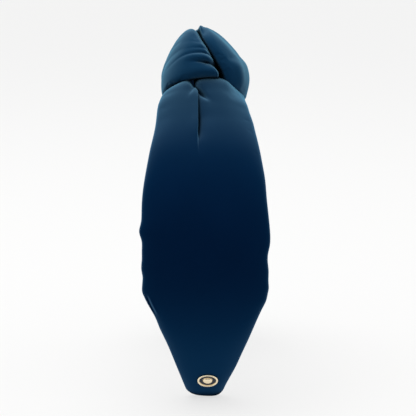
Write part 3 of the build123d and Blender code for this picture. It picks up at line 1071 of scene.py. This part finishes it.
def enamel_material():
    """Dark glossy enamel in the ornament's sunk ring."""
    material, nodes, links = node_material("enamel_blue")
    shader = nodes["Principled BSDF"]
    cloud = object_noise(nodes, links, 700.0, 2.0)
    colour = mix_colours(nodes, links, cloud, (0.004, 0.008, 0.02), (0.008, 0.016, 0.035))
    links.new(colour, shader.inputs["Base Color"])
    shader.inputs["Roughness"].default_value = 0.12
    return material


satin = satin_material("satin", (0.0002, 0.0046, 0.0235), (0.0004, 0.0066, 0.0305), 0.70)
# The knot's copy of the satin is lighter all over, as painted light, and has less sheen at the top.
lit_satin = satin_material("satin_painted_lit", (0.0015, 0.0180, 0.0520), (0.0022, 0.0215, 0.0610), 0.52)
ribbon = soft_material("lining_ribbon", (0.004, 0.016, 0.042), (0.007, 0.024, 0.06), 2500.0, 0.3, 0.7)
sewing_thread = soft_material("sewing_thread", (0.006, 0.02, 0.05), (0.012, 0.034, 0.08), 3500.0, 0.4, 0.6)
foam_white = soft_material("foam_white", (0.62, 0.61, 0.57), (0.78, 0.77, 0.73), 1500.0, 0.8)
wadding_white = soft_material("wadding_white", (0.72, 0.71, 0.69), (0.86, 0.85, 0.83), 700.0, 0.9)
core_plastic = plastic_material()
gold = gold_material()
enamel_blue = enamel_material()

# --- Pieces -------------------------------------------------------------------------------

left_sleeve = make_sleeve("sleeve_cloth_left", False)
right_sleeve = make_sleeve("sleeve_cloth_right", True)
near_wrap = make_wrap("knot_wrap_cloth_left", False)
far_wrap = make_wrap("knot_wrap_cloth_right", True)
top_strand = make_strand("knot_strand_cloth")

for cloth, rim, ends, pressure, spare, cap in (
    (left_sleeve, 9, 5, 60, 0.0, 0.5),
    (right_sleeve, 9, 5, 60, 0.0, 0.5),
    (near_wrap, 12, 8, 100, 0.006, 0.35),
    (far_wrap, 12, 8, 100, 0.006, 0.35),
    (top_strand, 8, 10, 100, 0.006, 0.35),
):
    # The sleeves take the plain satin; the knot's pieces take its lighter copy, which is painted light.
    held = held_parts(cloth.name, rim, ends)
    if cloth in (left_sleeve, right_sleeve):
        held = np.maximum(held, held_pleat())
        cloth.data.materials.append(satin)
    else:
        cloth.data.materials.append(lit_satin)
    filled_with_air(cloth, held, pressure, spare, cap)
    smoothed(cloth)

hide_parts("sleeve_left", "sleeve_neck_left")
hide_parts("sleeve_right", "sleeve_neck_right")


def blend_over_flex(piece):
    """Bake a piece's placement into its mesh."""
    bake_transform(piece)


blend_over_flex(left_sleeve)
blend_over_flex(right_sleeve)

left_lining = make_lining("lining_ribbon_left", 1)
right_lining = make_lining("lining_ribbon_right", -1)
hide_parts("lining_left", "lining_crown")
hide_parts("lining_right")
for piece, side in ((left_lining, 1), (right_lining, -1)):
    piece.data.materials.append(ribbon)
    blend_over_flex(piece)

batting = make_batting("knot_wadding")
tacks = make_tacks("knot_tack_threads")
left_foam, right_foam = make_foam("foam_sheet_left", 1), make_foam("foam_sheet_right", -1)
left_hem, right_hem = make_hem("hem_threads_left", 1), make_hem("hem_threads_right", -1)
ornament = make_plaque("ornament")

for piece, material, slot, body, node in (
    (near_wrap, None, "satin", "crown", "knot_wrap_left"),
    (far_wrap, None, "satin", "crown", "knot_wrap_right"),
    (top_strand, None, "satin", "crown", "knot_cross_strand"),
    (batting, wadding_white, "wadding", "crown", "knot_batting"),
    (tacks, sewing_thread, "thread", "crown", "knot_tacks"),
    (left_foam, foam_white, "foam", "left_arm", "foam_pad_left"),
    (right_foam, foam_white, "foam", "right_arm", "foam_pad_right"),
    (left_hem, sewing_thread, "thread", "left_arm", "hem_stitches_left"),
    (right_hem, sewing_thread, "thread", "right_arm", "hem_stitches_right"),
    (ornament, None, "gilt", "left_arm", "plaque"),
):
    if material:
        piece.data.materials.append(material)
    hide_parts(node)
    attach(piece, body)

for node, material in (
    ("core_crown", core_plastic),
    ("core_arm_left", core_plastic),
    ("core_arm_right", core_plastic),
    ("plaque_backplate", gold),
):
    mesh = frame["nodes"][node].data
    mesh.materials.clear()
    mesh.materials.append(material)


# --- Stage --------------------------------------------------------------------------------


def make_floor():
    """A plain pale floor that runs far back."""
    size = 6.0 / MM
    corners = [(-size, -size, 0), (size, -size, 0), (size, size, 0), (-size, size, 0)]
    floor = new_mesh("floor", corners, [(0, 1, 2, 3)])
    material, nodes, links = node_material("floor_white")
    shader = nodes["Principled BSDF"]
    shader.inputs["Base Color"].default_value = (0.16, 0.16, 0.158, 1)
    shader.inputs["Roughness"].default_value = 0.8
    shader.inputs["Emission Color"].default_value = (1, 1, 1, 1)
    shader.inputs["Emission Strength"].default_value = 0.655
    floor.data.materials.append(material)


def make_world():
    """A white room, bright above and to both sides, dim on the camera's side."""
    world = bpy.data.worlds.new("studio")
    bpy.context.scene.world = world
    world.use_nodes = True
    nodes, links = world.node_tree.nodes, world.node_tree.links
    nodes.clear()
    output = nodes.new("ShaderNodeOutputWorld")
    axes = place_axes(nodes, links, "Generated")
    sideways = nodes.new("ShaderNodeMath")
    sideways.operation = "ABSOLUTE"
    links.new(axes["Y"], sideways.inputs[0])
    behind = faded(nodes, links, axes["X"], ((-0.3, 0.55), (0.75, 0.0)))
    beside = faded(nodes, links, sideways.outputs["Value"], ((0.3, 0.0), (0.95, 1.05)))
    above = faded(nodes, links, axes["Z"], ((0.2, 0.04), (0.9, 1.1)))
    total = combined(nodes, links, "ADD", behind, beside)
    total = combined(nodes, links, "ADD", total, above)
    room = nodes.new("ShaderNodeBackground")
    links.new(total, room.inputs["Strength"])
    backdrop = nodes.new("ShaderNodeBackground")
    backdrop.inputs["Color"].default_value = (0.96, 0.96, 0.955, 1)
    seen = nodes.new("ShaderNodeLightPath")
    mix = nodes.new("ShaderNodeMixShader")
    links.new(seen.outputs["Is Camera Ray"], mix.inputs["Fac"])
    links.new(room.outputs["Background"], mix.inputs[1])
    links.new(backdrop.outputs["Background"], mix.inputs[2])
    links.new(mix.outputs["Shader"], output.inputs["Surface"])


def make_light():
    """One large soft light overhead, a little behind and to the left."""
    data = bpy.data.lights.new("overhead", "AREA")
    data.size = 0.9
    data.energy = 9.0
    light = bpy.data.objects.new("overhead", data)
    place, aim = Vector((-0.1, -0.15, 1.1)), Vector((0, 0, 0.1))
    light.location = place
    light.rotation_mode = "QUATERNION"
    light.rotation_quaternion = (aim - place).to_track_quat("-Z", "Y")
    bpy.context.scene.collection.objects.link(light)


CAMERA_ELEVATION = 10.0
CAMERA_DISTANCE = 0.75
CAMERA_LENS, SENSOR = 141.2, 36.0
CAMERA_SHIFT = 0.0075, -0.0235


def make_camera():
    """Camera on the left arm's side, a little above, as a product picture is taken."""
    data = bpy.data.cameras.new("camera")
    data.sensor_width = SENSOR
    data.lens = CAMERA_LENS
    data.shift_x, data.shift_y = CAMERA_SHIFT
    camera = bpy.data.objects.new("camera", data)
    bpy.context.scene.collection.objects.link(camera)
    tilt = radians(CAMERA_ELEVATION)
    back = Vector((cos(tilt), 0, sin(tilt)))
    aim = Vector((0, 0, TOP * MM / 2))
    camera.location = aim + back * CAMERA_DISTANCE
    camera.rotation_mode = "QUATERNION"
    camera.rotation_quaternion = (-back).to_track_quat("-Z", "Y")
    bpy.context.scene.camera = camera


make_floor()
make_world()
make_light()
make_camera()
bpy.context.scene.view_settings.view_transform = "Standard"
